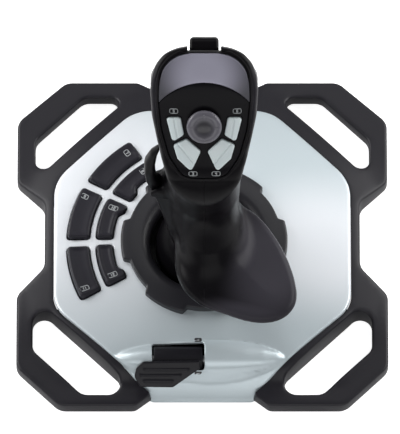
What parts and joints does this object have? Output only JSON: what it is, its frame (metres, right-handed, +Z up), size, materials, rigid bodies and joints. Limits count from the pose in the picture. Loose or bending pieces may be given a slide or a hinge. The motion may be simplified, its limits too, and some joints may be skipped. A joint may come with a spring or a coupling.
{
  "type": "flight joystick",
  "caption": "Desktop flight joystick: twisting two-axis stick with hand rest, trigger, hat and head buttons on a loop-cornered base with keys and a throttle.",
  "frame": {"origin": "middle of the base's underside, on the surface it stands on", "axes": "+Z up, +Y away from the user (trigger side), +X to the user's right"},
  "size_m": [0.206, 0.202, 0.2036],
  "materials": {
    "frame_black": "satin moulded",
    "plate_silver": "pale silver metallic paint on moulded plastic",
    "cover_black": "moulded",
    "grip_black": "satin soft-touch",
    "skirt_black": "satin moulded",
    "panel_gloss": "gloss",
    "visor_grey": "satin grey",
    "button_silver": "translucent pale silver",
    "hat_black": "satin",
    "key_black": "satin",
    "throttle_black": "satin",
    "rubber": "matte",
    "steel": "zinc plated",
    "brass": "turned",
    "board_green": "glass-epoxy circuit board",
    "sensor_dark": "moulded"
  },
  "bodies": {
    "base": {"base_frame": "frame_black", "top_plate": "plate_silver", "bottom_cover": "cover_black", "bottom_screws": "steel", "rubber_feet": "rubber", "ballast_plate": "steel", "main_board": "board_green", "board_screws": "steel", "cable_gland": "rubber", "collar_ring": "frame_black", "key_membrane": "rubber", "key_board": "board_green", "gimbal_housing": "cover_black", "gimbal_bushes": "brass", "roll_sensor": "sensor_dark", "roll_spring": "steel", "throttle_bracket": "cover_black", "throttle_pot": "sensor_dark"},
    "roll_yoke": {"roll_yoke": "cover_black", "pitch_sensor": "sensor_dark", "pitch_spring": "steel"},
    "pitch_core": {"pitch_core": "cover_black", "dome_skirt": "skirt_black", "twist_sensor": "sensor_dark", "twist_spring": "steel"},
    "grip": {"stick_shaft": "steel", "grip_mount": "skirt_black", "grip_left_shell": "grip_black", "grip_right_shell": "grip_black", "hand_rest": "grip_black", "head_bezel": "grip_black", "head_panel": "panel_gloss", "head_visor": "visor_grey", "head_board": "board_green", "switch_pads": "rubber", "hat_base": "cover_black", "trigger_pin": "steel", "trigger_switch": "cover_black", "thumb_pin": "steel"},
    "hat_cross": {"hat_cross": "cover_black"},
    "hat": {"hat_cap": "hat_black"},
    "trigger": {"trigger": "grip_black"},
    "thumb_lever": {"thumb_lever": "grip_black"},
    "throttle": {"throttle_drum": "throttle_black", "throttle_lever": "throttle_black", "throttle_shaft": "steel"},
    "head_button_5": {"head_button_5": "button_silver"},
    "head_button_6": {"head_button_6": "button_silver"},
    "head_button_3": {"head_button_3": "button_silver"},
    "head_button_4": {"head_button_4": "button_silver"},
    "base_key_7": {"base_key_7": "key_black"},
    "base_key_8": {"base_key_8": "key_black"},
    "base_key_9": {"base_key_9": "key_black"},
    "base_key_10": {"base_key_10": "key_black"},
    "base_key_11": {"base_key_11": "key_black"},
    "base_key_12": {"base_key_12": "key_black"}
  },
  "joints": [
    {"name": "stick_roll", "type": "hinge", "parent": "base", "child": "roll_yoke", "pos_m": [0.001, -0.007, 0.02], "axis": [0, 1, 0], "range_deg": [-15, 15], "stiffness_Nm_per_rad": 1.2},
    {"name": "stick_pitch", "type": "hinge", "parent": "roll_yoke", "child": "pitch_core", "pos_m": [0.001, -0.007, 0.02], "axis": [1, 0, 0], "range_deg": [-15, 15], "stiffness_Nm_per_rad": 1.2},
    {"name": "stick_twist", "type": "hinge", "parent": "pitch_core", "child": "grip", "pos_m": [0.001, -0.007, 0.03], "axis": [0, 0, 1], "range_deg": [-14, 14], "stiffness_Nm_per_rad": 0.5},
    {"name": "hat_tilt_fore", "type": "hinge", "parent": "grip", "child": "hat_cross", "pos_m": [0.001, -0.0094, 0.17414], "axis": [1, 0, 0], "range_deg": [-7, 7], "stiffness_Nm_per_rad": 0.05},
    {"name": "hat_tilt_side", "type": "hinge", "parent": "hat_cross", "child": "hat", "pos_m": [0.001, -0.0094, 0.17414], "axis": [0, 0.6428, 0.766], "range_deg": [-7, 7], "stiffness_Nm_per_rad": 0.05},
    {"name": "trigger_pull", "type": "hinge", "parent": "grip", "child": "trigger", "pos_m": [0.001, 0.0226, 0.193], "axis": [-1, 0, 0], "range_deg": [0, 5], "stiffness_Nm_per_rad": 0.3, "springref_deg": -5.73},
    {"name": "thumb_lever_press", "type": "hinge", "parent": "grip", "child": "thumb_lever", "pos_m": [-0.0246, -0.012, 0.106], "axis": [0, 1, 0], "range_deg": [0, 2.2], "stiffness_Nm_per_rad": 0.3, "springref_deg": -3.44},
    {"name": "throttle_turn", "type": "hinge", "parent": "base", "child": "throttle", "pos_m": [-0.0133, -0.0762, 0.017], "axis": [-1, 0, 0], "range_deg": [0, 58]},
    {"name": "head_button_5_press", "type": "slide", "parent": "grip", "child": "head_button_5", "axis": [0, 0.766, -0.6428], "range_m": [0, 0.0015], "stiffness_N_per_m": 300, "springref_m": -0.001},
    {"name": "head_button_6_press", "type": "slide", "parent": "grip", "child": "head_button_6", "axis": [0, 0.766, -0.6428], "range_m": [0, 0.0015], "stiffness_N_per_m": 300, "springref_m": -0.001},
    {"name": "head_button_3_press", "type": "slide", "parent": "grip", "child": "head_button_3", "axis": [0, 0.766, -0.6428], "range_m": [0, 0.0015], "stiffness_N_per_m": 300, "springref_m": -0.001},
    {"name": "head_button_4_press", "type": "slide", "parent": "grip", "child": "head_button_4", "axis": [0, 0.766, -0.6428], "range_m": [0, 0.0015], "stiffness_N_per_m": 300, "springref_m": -0.001},
    {"name": "base_key_7_press", "type": "slide", "parent": "base", "child": "base_key_7", "axis": [0, 0, -1], "range_m": [0, 0.002], "stiffness_N_per_m": 250, "springref_m": -0.001},
    {"name": "base_key_8_press", "type": "slide", "parent": "base", "child": "base_key_8", "axis": [0, 0, -1], "range_m": [0, 0.002], "stiffness_N_per_m": 250, "springref_m": -0.001},
    {"name": "base_key_9_press", "type": "slide", "parent": "base", "child": "base_key_9", "axis": [0, 0, -1], "range_m": [0, 0.002], "stiffness_N_per_m": 250, "springref_m": -0.001},
    {"name": "base_key_10_press", "type": "slide", "parent": "base", "child": "base_key_10", "axis": [0, 0, -1], "range_m": [0, 0.002], "stiffness_N_per_m": 250, "springref_m": -0.001},
    {"name": "base_key_11_press", "type": "slide", "parent": "base", "child": "base_key_11", "axis": [0, 0, -1], "range_m": [0, 0.002], "stiffness_N_per_m": 250, "springref_m": -0.001},
    {"name": "base_key_12_press", "type": "slide", "parent": "base", "child": "base_key_12", "axis": [0, 0, -1], "range_m": [0, 0.002], "stiffness_N_per_m": 250, "springref_m": -0.001}
  ]
}
